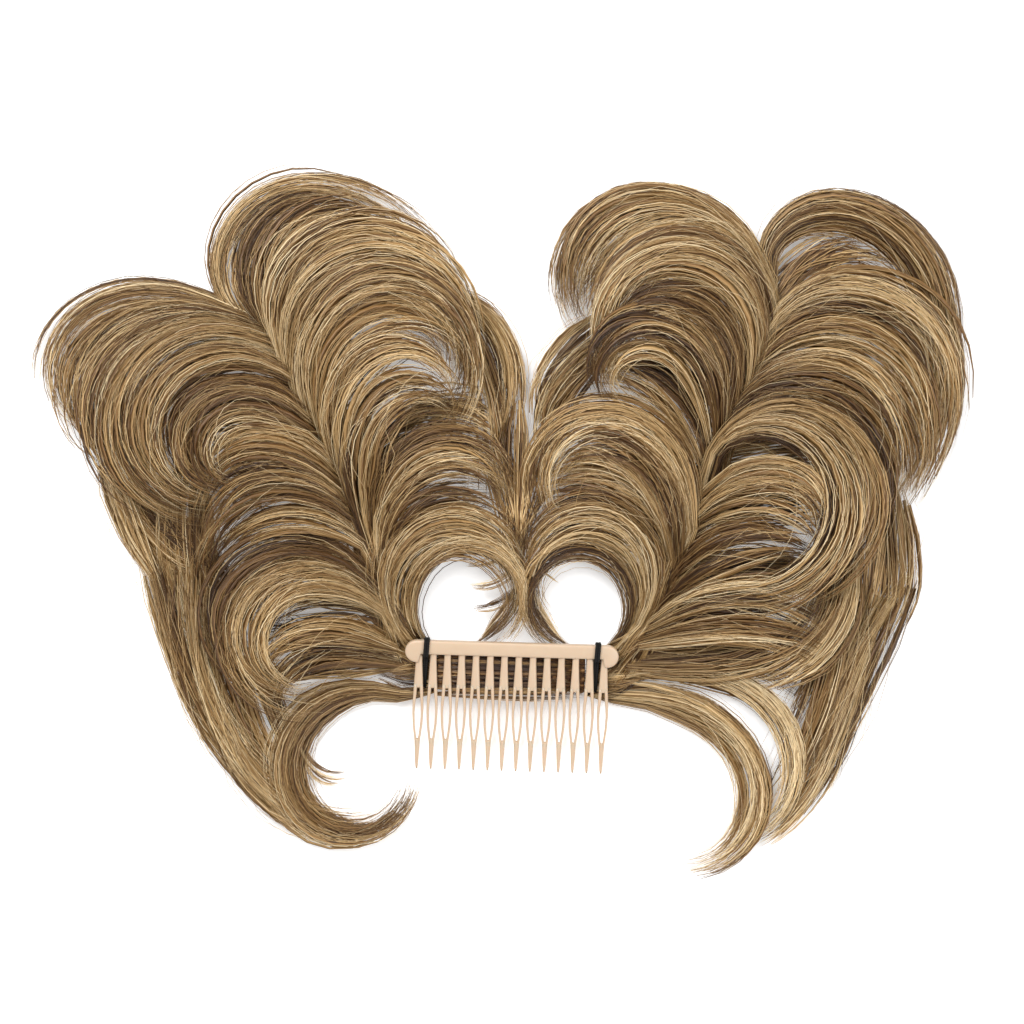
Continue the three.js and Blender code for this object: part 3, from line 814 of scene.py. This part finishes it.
def tie_part(x):
    """One turn of a tie: a rounded box carried along the loop round the bar and the hair roots."""
    loop = smooth_loop(TIE_LOOP, TIE_STEPS)
    ahead = np.roll(loop, -1, axis=0) - np.roll(loop, 1, axis=0)
    ahead = ahead / np.linalg.norm(ahead, axis=1, keepdims=True)
    out = np.stack([ahead[:, 1], -ahead[:, 0]], axis=1)
    angle = np.linspace(0, 2 * math.pi, TIE_SIDES + 1)
    across, through = round_box(angle[:-1], TIE_POWER)
    lift = TIE_HALF_THICK * through + TIE_LIFT
    place = loop[:, None, :] + out[:, None, :] * lift[None, :, None]
    slant = TIE_SLANT * loop[:, TIE_COLUMNS.index("across"), None]
    wide = x + slant + TIE_HALF_WIDE * across[None, :]
    corners = np.concatenate([wide[..., None], place], axis=2)
    round_loop = np.linspace(0, 1, len(loop) + 1)
    round_cord = np.linspace(0, 1, TIE_SIDES + 1)
    places = np.stack(np.meshgrid(round_loop, round_cord, indexing="ij"), axis=-1)
    return ring_part(on_comb(corners), places)


def tie_parts(side):
    """A tie's turns, side by side."""
    return [tie_part(side * TIE_X + turn) for turn in TIE_TURNS]


def weft_part():
    """The sewn band: a rounded slab whose faces swell between rows of stitching."""
    x = np.linspace(-WEFT_HALF_LENGTH, WEFT_HALF_LENGTH, WEFT_RINGS)
    angle = np.linspace(0, 2 * math.pi, WEFT_SIDES + 1)[:-1]
    across, through = round_box(angle, WEFT_POWER)
    stitching = np.sin(x[:, None] * STITCHES) * np.cos(across[None, :] * STITCH_ROWS)
    swell = 1 + WEFT_SWELL * stitching
    y = (WEFT_TOP + WEFT_FOOT) / 2 + (WEFT_TOP - WEFT_FOOT) / 2 * across[None, :] * swell
    z = (WEFT_FRONT + WEFT_BACK) / 2 + (WEFT_FRONT - WEFT_BACK) / 2 * through[None, :] * swell
    corners = np.stack([np.broadcast_to(x[:, None], y.shape), y, z], axis=-1)[None]
    return tube_part(on_comb(corners), even_map(*corners.shape[:3]))


def swelling(share, tip):
    """The share of a lock's full size: gathered at its root, full in the middle, drawn in at its tip."""
    gathered = ROOT_SHARE + (1 - ROOT_SHARE) * rising(0, SWELL_END, share)
    return gathered * (1 - (1 - tip) * rising(TAPER_START, 1, share))


def lock_lines(locks, share, across, over, tip):
    """Points of lines in locks, a row of each array for each line.

    In plan a line walks along its lock's heading, heading + turn * s ** gather, by length * ds in each
    part. From there it is set off to the right by across, and up by over, in half widths and half depths
    of the lock's section. The lock's height is the parabola through its root, crest and tip."""
    lock = {name: values[:, None] for name, values in zip(COLUMNS, locks.T)}
    edges = np.concatenate([np.zeros_like(share[:, :1]), share], axis=1)
    middle = (edges[:, 1:] + edges[:, :-1]) / 2
    step = np.diff(edges, axis=1) * lock["length"]
    bearing = np.radians(lock["heading"] + lock["turn"] * middle ** lock["gather"])
    x = lock["x"] + np.cumsum(np.cos(bearing) * step, axis=1)
    y = lock["y"] + np.cumsum(np.sin(bearing) * step, axis=1)
    bearing = np.radians(lock["heading"] + lock["turn"] * share ** lock["gather"])
    size = swelling(share, tip) / 2
    right = across * lock["wide"] * size
    level = lock["root"] + (lock["tip"] - lock["root"]) * share
    bow = 4 * share * (1 - share) * (lock["crest"] - (lock["root"] + lock["tip"]) / 2)
    z = np.maximum(level + bow + over * lock["deep"] * size, FLOOR_CLEAR)
    return np.stack([x + np.sin(bearing) * right, y - np.cos(bearing) * right, z], axis=-1)


def bending_shares(gather, steps):
    """Shares along a lock that split its length and its turning about evenly."""
    fine = np.linspace(0, 1, FINE_PARTS)
    return np.interp(np.linspace(0, 1, steps + 1), (fine + fine ** gather) / 2, fine)


def round_tubes(points, radius, sides=STRAND_SIDES):
    """Corners of tubes along many lines: a ring of corners about each point, square to its line."""
    along = np.gradient(points, axis=1)
    along = along / np.linalg.norm(along, axis=-1, keepdims=True)
    right = np.cross(along, (0.0, 0.0, 1.0))
    right = right / np.maximum(np.linalg.norm(right, axis=-1, keepdims=True), 1e-6)
    over = np.cross(right, along)
    angle = np.pi / 2 + np.linspace(0, 2 * np.pi, sides, endpoint=False)
    ring = np.cos(angle)[:, None] * right[:, :, None] + np.sin(angle)[:, None] * over[:, :, None]
    return points[:, :, None] + radius[:, :, None, None] * ring


def strand_map(tone, rings):
    """Map places of strands: u along each strand, and v its tone, a cell apart round its sides."""
    aside = np.append(np.arange(STRAND_SIDES), 0) * MAP_CELL
    return hair_map(tone, rings, aside)


def ribbon_map(tone, rings):
    """Map places of ribbons: u along each, and v over a band about its tone, across its top and back."""
    share = np.arange(RIBBON_SIDES + 1) / (RIBBON_SIDES / 2)
    return hair_map(tone, rings, RIBBON_BAND * (1 - 2 * np.abs(share - 1)))


def hair_map(tone, rings, aside):
    """Map places of lines of hair: u along each, and v its tone, moved aside by so much round it."""
    u = np.linspace(*MAP_ENDS, rings)[None, :, None]
    v = (MAP_FOOT + MAP_TALL * np.clip(tone, 0, 1))[:, None, None] + aside
    return np.stack(np.broadcast_arrays(u, v), axis=-1)


def strand_radius(random, count, rings, scale):
    """Strands are finest at their tips and a little finer at their roots."""
    along = np.linspace(0, 1, rings)[None, :]
    root = RADIUS_AT_ROOT + RADIUS_GAIN * rising(0, RADIUS_FULL, along)
    shape = root * (1 - RADIUS_LOSS * rising(RADIUS_FALLS, 1, along))
    return STRAND_RADIUS * scale * random.uniform(*RADIUS_SPREAD, (count, 1)) * shape


def stem_line(side, parts=80):
    """A wing's stem: the cubic of its four control places, its direction, and the length run so far."""
    t = np.linspace(0, 1, parts)[:, None]
    points = cubic(t, *(np.array(place, dtype=float) for place in STEMS[side]))
    ahead = np.gradient(points, axis=0)
    run = np.cumsum(np.linalg.norm(np.diff(points, axis=0), axis=1))
    return points, ahead / np.linalg.norm(ahead, axis=1, keepdims=True), np.append(0, run)


def cubic(t, start, second, third, end):
    """A Bezier cubic at t, of its ends and the two places that set its slopes."""
    near_start = (1 - t) ** 3 * start + 3 * (1 - t) ** 2 * t * second
    return near_start + 3 * (1 - t) * t ** 2 * third + t ** 3 * end


def along_stem(stem, run, values):
    """Values of the stem at lengths along it, each part of the vector on its own."""
    return np.stack([np.interp(run, stem[2], values[:, part]) for part in range(3)], axis=1)


def lead_in(side, locks, first, back, lean, lift):
    """The way lines run up their wing's stem before they leave it, as LEAD_STEPS points each.

    It is a cubic from a place back down the stem, along the stem, to the line's first point, along the
    heading of its lock. A line keeps its place across the stem, and leans to the side it leaves on."""
    stem = stem_line(side)
    away = first[:, None, :2] - stem[0][None, :, :2]
    near = stem[2][np.argmin(np.sum(away ** 2, axis=2), axis=1)]
    back = np.maximum(near - LEAD_LENGTH * back, 0)
    along = along_stem(stem, back, stem[1])
    heading = np.radians(locks[:, COLUMNS.index("heading")])
    leave = np.stack([np.cos(heading), np.sin(heading), np.zeros(len(locks))], axis=1)
    left = np.stack([-along[:, 1], along[:, 0], np.zeros(len(locks))], axis=1)
    half = np.interp(back / stem[2][-1], (0, 1), STEM_WIDE) / 2
    aside = np.sum((first - along_stem(stem, near, stem[0])) * left, axis=1)
    aside = aside + np.sign(np.sum(left * leave, axis=1)) * lean * half
    start = along_stem(stem, back, stem[0]) + left * np.clip(aside, -half, half)[:, None]
    start[:, 2] += lift * STEM_DEEP[0] / 2
    reach = LEAD_SLOPE * np.linalg.norm(first - start, axis=1, keepdims=True)
    ends = start, start + along * reach, first - leave * reach, first
    t = np.linspace(0, 1, LEAD_STEPS, endpoint=False)[None, :, None]
    return cubic(t, *(place[:, None] for place in ends))


def on_stem(side, row):
    """Whether a lock's root lies on its wing's stem."""
    points = stem_line(side)[0]
    return np.min(np.hypot(points[:, 0] - row[0], points[:, 1] - row[1])) < ROOT_REACH


def blended(random, table, which, count):
    """Copies of a lock's row, each moved some of the way to the row before or after it.

    Only rows that are close are mixed: their roots, headings and turns are nearly the same."""
    amount = random.uniform(-BLEND, BLEND, count)
    other = np.clip(which + np.sign(amount).astype(int), 0, len(table) - 1)
    gap = dict(zip(COLUMNS, np.abs(table[other] - table[which]).T))
    close = np.hypot(gap["x"], gap["y"]) < CLOSE_ROOTS
    close = close & (gap["heading"] < CLOSE_HEADINGS) & (gap["turn"] < CLOSE_TURNS)
    amount = np.where(close, np.abs(amount), 0)[:, None]
    return table[which] * (1 - amount) + table[other] * amount


def varied(random, rows, errors):
    """Rows with errors of the named sizes in how they head, turn, run and gather.

    They run shorter than their lock more than longer, so that a lock keeps its outline."""
    count = len(rows)
    rows = rows.copy()
    loose = rows[:, COLUMNS.index("loose")]
    error = np.clip(random.normal(0, 1, (len(errors), count)), -MOST_ERROR, MOST_ERROR) * loose
    rows[:, COLUMNS.index("heading")] += errors["heading"] * error[0]
    rows[:, COLUMNS.index("turn")] *= 1 + errors["turn"] * error[1]
    rows[:, COLUMNS.index("length")] *= 1 - errors["length"] * np.abs(error[2])
    rows[:, COLUMNS.index("gather")] *= np.exp(errors["gather"] * error[3])
    return rows


class Lock:
    """One lock's ribbons and strands.

    A ribbon is a clump of hair. It has its own row, near the lock's, its own place and tilt in the lock's
    round section, and its own tone. Strands lie about the ribbons, differ a little from them, and draw
    together towards their tips."""

    def __init__(self, random, table, which, side):
        self.random = random
        self.row = table[which]
        self.lock = dict(zip(COLUMNS, self.row))
        self.side = side
        self.area = self.lock["wide"] * self.lock["length"]
        self.clumps = max(LEAST_LINES, int(round(self.area * RIBBONS_PER_AREA)))
        self.rooted = on_stem(side, self.row)
        self.rows = varied(random, blended(random, table, which, self.clumps), CLUMP_ERRORS)
        angle = random.uniform(*CLUMP_ANGLES, self.clumps)
        reach = np.sqrt(random.uniform(*CLUMP_REACH, self.clumps))
        self.middle = np.stack([np.cos(angle) * reach, np.sin(angle) * reach], axis=1)
        self.phase = random.uniform(0, 2 * math.pi, self.clumps)
        # Broad bands across the lock: partly the hair's own streaks, partly painted highlight
        band = BAND_STREAK_AND_HIGHLIGHT * np.sin(self.phase[0] + TONE_BANDS * self.middle[:, 0])
        self.tone = random.normal(self.lock["tone"], TONE_SPREAD, self.clumps) + band
        self.back = random.uniform(*LEAD_BACK, self.clumps)
        self.lean = random.uniform(*LEAD_LEAN, self.clumps)
        self.lift = random.uniform(*LEAD_LIFT, self.clumps)

    def begin(self, count):
        """Where lines begin: at the root of a lock on the stem, over the first part of any other."""
        spread = 0.0 if self.rooted else ROOT_SPREAD
        return self.random.uniform(0, spread, (count, 1))

    def lines(self, locks, chosen, aside, begin, end, steps, roam=0.0):
        """Points of lines that lie aside from the middles of their clumps, with the way up the stem.

        Lines that roam swing to and fro across the lock in a slow wave, and have no way up the stem."""
        grid = bending_shares(self.lock["gather"], steps)
        parts = np.arange(steps * PARTS_PER_STEP + 1) / PARTS_PER_STEP
        share = begin + (end - begin) * np.interp(parts, np.arange(steps + 1), grid)
        phase = self.phase[chosen, None]
        drift = DRIFT * np.sin(phase + DRIFT_TURN * share)
        close = 1 - DRAWN_IN * rising(DRAWN_FROM, 1, share)
        swing = roam * np.sin(2 * phase + ROAM_TURN * share) * rising(0, ROAM_FULL, share)
        across = self.middle[chosen, :1] + drift + swing + aside[:, :1] * close
        over = self.middle[chosen, 1:] + DRIFT_LIFT * drift + aside[:, 1:] * close
        points = lock_lines(locks, share, across, over, STRAND_TIP)[:, ::PARTS_PER_STEP]
        if not self.rooted or np.any(roam):
            return points
        back = self.back[chosen] + LEAD_SPREAD * aside[:, 1]
        ways = lead_in(self.side, locks, points[:, 0], back, self.lean[chosen], self.lift[chosen])
        return np.concatenate([ways, points], axis=1)

    def steps(self):
        """How many straight parts a line of this lock has: more where it turns more."""
        count = round(abs(self.lock["turn"]) / TURN_PER_STEP) + EXTRA_STEPS
        return int(np.clip(count, LEAST_STEPS, MOST_STEPS))

    def ribbons(self):
        """A ribbon for each clump: a flat tilted ellipse carried along it, darker as painted shade."""
        chosen = np.repeat(np.arange(self.clumps), RIBBON_SIDES)
        angle = np.tile(np.linspace(0, 2 * math.pi, RIBBON_SIDES, endpoint=False), self.clumps)
        tilt = np.repeat(self.random.normal(0, RIBBON_TILT, self.clumps), RIBBON_SIDES)
        wide = RIBBON_WIDE * np.cos(angle)
        deep = RIBBON_DEEP * np.sin(angle)
        across = wide * np.cos(tilt) - deep * np.sin(tilt)
        over = wide * np.sin(tilt) + deep * np.cos(tilt) - RIBBON_SINK
        begin = np.repeat(self.begin(self.clumps), RIBBON_SIDES, axis=0)
        end = 1 - RIBBON_SHORT * self.random.uniform(0, 1, (self.clumps, 1))
        end = np.repeat(end, RIBBON_SIDES, axis=0)
        aside = np.stack([across, over], axis=1)
        lines = self.lines(self.rows[chosen], chosen, aside, begin, end, self.steps())
        corners = lines.reshape(self.clumps, RIBBON_SIDES, -1, 3).swapaxes(1, 2)
        # Ribbons keep about half their clump's tone: painted shade under the strands
        tone = RIBBON_SHADE_OFFSET + RIBBON_SHADE_SHARE * self.tone
        return tube_part(corners, ribbon_map(tone, corners.shape[1]))

    def strands(self, density, thick):
        """Strands about the clumps, so many to the area, so thick."""
        random = self.random
        count = max(LEAST_LINES, int(round(self.area * density)))
        chosen = random.integers(0, self.clumps, count)
        locks = varied(random, self.rows[chosen], STRAND_ERRORS)
        aside = random.normal(0, 1, (count, 2)) * STRAND_ASIDE
        tone = self.tone[chosen] + random.normal(*STRAND_TONE, count)
        end = 1 - STRAND_SHORT * random.uniform(0, 1, (count, 1)) ** 2
        points = self.lines(locks, chosen, aside, self.begin(count), end, self.steps())
        return self.tubes(points, tone, thick)

    def flyaways(self):
        """Finer, paler strands that roam over the lock and off its edges."""
        random = self.random
        count = max(LEAST_FLYAWAYS, int(round(self.area * FLYAWAYS_PER_AREA)))
        chosen = random.integers(0, self.clumps, count)
        locks = varied(random, self.rows[chosen], FLYAWAY_ERRORS)
        aside = random.normal(0, 1, (count, 2)) * FLYAWAY_ASIDE + (0, FLYAWAY_LIFT)
        roam = FLYAWAY_ROAM * np.clip(random.normal(0, 1, (count, 1)), -MOST_ERROR, MOST_ERROR)
        roam = roam * min(1, self.lock["loose"])
        tone = self.tone[chosen] + random.normal(*FLYAWAY_TONE, count)
        end = 1 - FLYAWAY_SHORT * random.uniform(0, 1, (count, 1))
        steps = max(LEAST_STEPS, self.steps() - FLYAWAY_FEWER)
        points = self.lines(locks, chosen, aside, self.begin(count), end, steps, roam)
        return self.tubes(points, tone, FLYAWAY_THICK)

    def tubes(self, points, tone, thick):
        """Tubes along lines of points, so thick, each with its tone."""
        count, rings = points.shape[:2]
        corners = round_tubes(points, strand_radius(self.random, count, rings, thick))
        return tube_part(corners, strand_map(tone, rings))


def hair_parts(seed, table, side, first, last):
    """Ribbons, strands and flyaways of the locks of a table from first up to last."""
    random = np.random.default_rng(seed)
    parts = []
    for which in range(first, last):
        lock = Lock(random, table, which, side)
        parts.append(lock.ribbons())
        parts.append(lock.strands(STRANDS_PER_AREA, 1.0))
        parts.append(lock.flyaways())
    return parts


def plain_parts(seed, table, side, density, thick):
    """Strands alone, of each row by itself."""
    random = np.random.default_rng(seed)
    locks = [Lock(random, table[which:which + 1], 0, side) for which in range(len(table))]
    return [lock.strands(density, thick) for lock in locks]


# The comb's own box puts the whole in the part's place
low, high = (np.array(corner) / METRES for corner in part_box("comb"))
bar_points = on_comb(bar_corners()).reshape(-1, 3)
shift = np.array([
    (low[0] + high[0]) / 2 - (bar_points[:, 0].min() + bar_points[:, 0].max()) / 2,
    high[1] - bar_points[:, 1].max(),
    high[2] - bar_points[:, 2].max(),
])

plastic = finish("comb_plastic", plastic_inputs)
elastic = finish("elastic", elastic_inputs)
sewn = finish("sewn_band", weft_inputs)
hair = finish("hair", hair_inputs)

add_piece("comb_moulding", comb_parts(), plastic, "comb_plastic", "comb", mapped=False)
add_piece("tie_left", tie_parts(-1), elastic, "elastic", "elastic_tie_left")
add_piece("tie_right", tie_parts(1), elastic, "elastic", "elastic_tie_right")
add_piece("weft_sewn", [weft_part()], sewn, "sewn_band", "weft_band")

# Each piece of hair has its own seed, takes rows of a table from first up to last, and stands for a solid
HAIR_PIECES = (
    ("left_upper_hair", 1, LEFT_OUTER, "left", 0, 7, "left_wing"),
    ("left_lower_hair", 2, LEFT_OUTER, "left", 7, 22, "left_tail_lock"),
    ("left_crown_hair", 3, LEFT_INNER, "left", 0, 6, "left_wing"),
    ("left_inner_hair", 7, LEFT_INNER, "left", 6, 15, "left_ring_curl"),
    ("right_crown_hair", 4, RIGHT_INNER, "right", 0, 6, "right_wing"),
    ("right_inner_hair", 8, RIGHT_INNER, "right", 6, 15, "right_ring_curl"),
    ("right_upper_hair", 5, RIGHT_OUTER, "right", 0, 10, "right_wing"),
    ("right_lower_hair", 6, RIGHT_OUTER, "right", 10, 23, "right_tail_lock"),
)
for name, seed, table, side, first, last, node in HAIR_PIECES:
    add_piece(name, hair_parts(seed, table, side, first, last), hair, "hair", node)

# The wisps, and the sheets of hair under each wing
wisps = plain_parts(11, WISPS, "left", WISPS_PER_AREA, WISP_THICK)
add_piece("wisp_hair", wisps, hair, "hair", "left_ring_curl", "right_ring_curl")
left_under = plain_parts(9, LEFT_UNDER, "left", UNDER_PER_AREA, UNDER_THICK)
add_piece("left_under_hair", left_under, hair, "hair", "left_wing")
right_under = plain_parts(10, RIGHT_UNDER, "right", UNDER_PER_AREA, UNDER_THICK)
add_piece("right_under_hair", right_under, hair, "hair", "right_wing")


# Floor, light and camera
PICTURE_WIDTH = 384
PICTURE_MIDDLE = (0, 51.75, 10)
CAMERA_HEIGHT = 1600
SENSOR = 36
FLOOR_REACH = 6.0
LIGHT_COLUMNS = ("name", "place", "size", "power")
LIGHTS = (
    ("key", (-0.5, 0.7, 1.4), 0.9, 25),
    ("fill", (0.9, -0.3, 1.3), 0.9, 12),
)
WORLD_STRENGTH = 0.6


def add_floor():
    """A flat square table at height 0."""
    mesh = bpy.data.meshes.new("floor")
    ways = ((-1, -1), (1, -1), (1, 1), (-1, 1))
    corners = [(FLOOR_REACH * x, FLOOR_REACH * y, 0) for x, y in ways]
    mesh.from_pydata(corners, [], [(0, 1, 2, 3)])
    mesh.materials.append(finish("floor", floor_inputs))
    floor = bpy.data.objects.new("floor", mesh)
    bpy.context.scene.collection.objects.link(floor)


def add_light(name, place, size, power):
    """A square soft light that faces the middle of the hairpiece."""
    light = bpy.data.lights.new(name, "AREA")
    light.size = size
    light.energy = power
    lamp = bpy.data.objects.new(name, light)
    bpy.context.scene.collection.objects.link(lamp)
    lamp.location = place
    tilt = math.acos(place[2] / math.hypot(*place))
    bearing = math.atan2(place[1], place[0])
    lamp.rotation_euler = (tilt, 0, bearing + math.pi / 2)


def add_world(strength):
    """Even white light from all round."""
    world = bpy.data.worlds.new("studio")
    world.use_nodes = True
    background = world.node_tree.nodes["Background"]
    background.inputs["Color"].default_value = (1, 1, 1, 1)
    background.inputs["Strength"].default_value = strength
    bpy.context.scene.world = world


def add_camera():
    """A long lens straight above the middle of the picture, which takes in the picture's width."""
    lens = bpy.data.cameras.new("camera")
    lens.sensor_width = SENSOR
    lens.lens = SENSOR * CAMERA_HEIGHT / PICTURE_WIDTH
    camera = bpy.data.objects.new("camera", lens)
    bpy.context.scene.collection.objects.link(camera)
    middle = (np.array(PICTURE_MIDDLE) + shift) * METRES
    camera.location = (middle[0], middle[1], middle[2] + CAMERA_HEIGHT * METRES)
    bpy.context.scene.camera = camera


add_floor()
for light_row in LIGHTS:
    add_light(**dict(zip(LIGHT_COLUMNS, light_row)))
add_world(WORLD_STRENGTH)
add_camera()
bpy.context.scene.view_settings.view_transform = "Standard"
